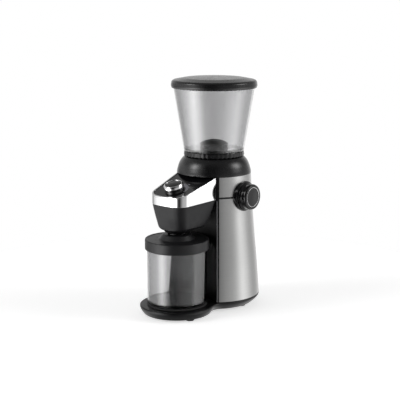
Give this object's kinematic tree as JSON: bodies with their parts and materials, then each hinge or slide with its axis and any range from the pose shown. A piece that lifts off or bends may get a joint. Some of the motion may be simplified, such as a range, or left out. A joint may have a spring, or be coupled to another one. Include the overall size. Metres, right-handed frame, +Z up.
{
  "type": "burr coffee grinder",
  "caption": "Conical burr coffee grinder with a tapered bean hopper, round steel body, sloping dosing head, side grind knob and lidded grounds container.",
  "frame": {"origin": "centre of the footprint on the surface that the grinder stands on", "axes": "+Z up along the hopper and burr axis, -Y towards the front where the container sits, +X towards the grind knob"},
  "size_m": [0.1604, 0.2384, 0.385],
  "materials": {
    "stainless": "vertically lit brushed stainless steel",
    "chrome": "polished",
    "satin_black": "satin black plastic",
    "gloss_black": "gloss black plastic",
    "dark_grey": "satin dark grey plastic",
    "smoked_clear": "clear smoked plastic",
    "rubber": "matt",
    "steel": "machined",
    "brass": "machined",
    "nylon": "natural",
    "circuit": "circuit board",
    "copper": "laminated core and copper windings"
  },
  "bodies": {
    "casing": {"lower_sleeve": "stainless", "upper_sleeve": "stainless", "chrome_band": "chrome", "base": "satin_black", "base_plate": "satin_black", "body_frame": "satin_black", "top_housing": "satin_black", "spout": "satin_black", "grounds_chute": "satin_black", "gearbox_housing": "satin_black", "gearbox_cover": "satin_black", "burr_chamber": "satin_black", "interlock_switch": "satin_black", "column_cover": "gloss_black", "control_panel": "gloss_black", "knob_bezel": "gloss_black", "trim_strip_right": "dark_grey", "trim_strip_left": "dark_grey", "head_housing": "dark_grey", "foot_1": "rubber", "foot_2": "rubber", "foot_3": "rubber", "foot_4": "rubber", "foot_5": "rubber", "container_mat": "rubber", "cable_gland": "rubber", "base_screw_1": "steel", "base_screw_2": "steel", "base_screw_3": "steel", "base_screw_4": "steel", "shaft_bearing": "steel", "motor_can": "steel", "dial_encoder": "steel", "control_board": "circuit", "dial_board": "circuit"},
    "hopper_seat": {"interlock_ring": "nylon"},
    "hopper_unit": {"hopper": "smoked_clear", "hopper_collar": "satin_black", "hopper_feed_guard": "dark_grey"},
    "hopper_cap": {"hopper_lid": "satin_black"},
    "grind_control": {"grind_knob": "gloss_black", "knob_ring": "chrome", "knob_pinion": "brass"},
    "adjuster": {"adjuster_ring": "nylon"},
    "upper_burr": {"burr_carrier": "nylon", "outer_burr": "steel"},
    "dose_dial": {"quantity_dial": "gloss_black", "dial_ring": "chrome"},
    "start_push": {"start_button": "satin_black"},
    "grounds_container": {"container": "smoked_clear"},
    "grounds_lid": {"container_lid": "dark_grey"},
    "burr_drive": {"burr_shaft": "steel", "inner_burr": "steel", "impeller": "nylon", "output_gear": "steel"},
    "layshaft_unit": {"layshaft": "steel", "layshaft_gear": "nylon"},
    "motor_spindle": {"motor_rotor": "copper", "motor_pinion": "brass", "motor_fan": "nylon"}
  },
  "joints": [
    {"name": "hopper_twist", "type": "hinge", "parent": "casing", "child": "hopper_seat", "pos_m": [-0.0026, 0.0406, 0.24], "axis": [0, 0, 1], "range_deg": [0, 30]},
    {"name": "hopper_lift", "type": "slide", "parent": "hopper_seat", "child": "hopper_unit", "axis": [0, 0, 1], "range_m": [0, 0.15]},
    {"name": "hopper_lid_lift", "type": "slide", "parent": "hopper_unit", "child": "hopper_cap", "axis": [0, 0, 1], "range_m": [0, 0.12]},
    {"name": "grind_knob_turn", "type": "hinge", "parent": "casing", "child": "grind_control", "pos_m": [0.0674, 0.0406, 0.1904], "axis": [1, 0, 0], "range_deg": [-150, 150]},
    {"name": "adjuster_turn", "type": "hinge", "parent": "casing", "child": "adjuster", "pos_m": [-0.0026, 0.0406, 0.21], "axis": [0, 0, 1], "range_deg": [-25, 25]},
    {"name": "upper_burr_rise", "type": "slide", "parent": "casing", "child": "upper_burr", "axis": [0, 0, 1], "range_m": [-0.000416, 0.000416]},
    {"name": "dial_turn", "type": "hinge", "parent": "casing", "child": "dose_dial", "pos_m": [-0.0026, -0.0619, 0.20613], "axis": [0, -0.2891, 0.9573], "range_deg": [-135, 135]},
    {"name": "start_press", "type": "slide", "parent": "dose_dial", "child": "start_push", "axis": [0, 0.2891, -0.9573], "range_m": [0, 0.0015], "stiffness_N_per_m": 300, "springref_m": -0.001},
    {"name": "container_slide", "type": "slide", "parent": "casing", "child": "grounds_container", "axis": [0, -1, 0], "range_m": [0, 0.13]},
    {"name": "container_lid_turn", "type": "hinge", "parent": "grounds_container", "child": "grounds_lid", "pos_m": [-0.0026, -0.0569, 0.12], "axis": [0, 0, 1], "continuous": true},
    {"name": "motor_spin", "type": "hinge", "parent": "casing", "child": "motor_spindle", "pos_m": [-0.0026, 0.0706, 0.1], "axis": [0, 0, 1], "continuous": true},
    {"name": "layshaft_spin", "type": "hinge", "parent": "casing", "child": "layshaft_unit", "pos_m": [0.01614, 0.0556, 0.15], "axis": [0, 0, 1], "continuous": true},
    {"name": "burr_spin", "type": "hinge", "parent": "casing", "child": "burr_drive", "pos_m": [-0.0026, 0.0406, 0.16], "axis": [0, 0, 1], "continuous": true}
  ],
  "couplings": [
    {"joint": "adjuster_turn", "follows": "upper_burr_rise", "rad_per_m": 1047.2},
    {"joint": "grind_knob_turn", "follows": "upper_burr_rise", "rad_per_m": -6283.2},
    {"joint": "layshaft_spin", "follows": "motor_spin", "ratio": -0.33333},
    {"joint": "burr_spin", "follows": "motor_spin", "ratio": 0.11111}
  ]
}
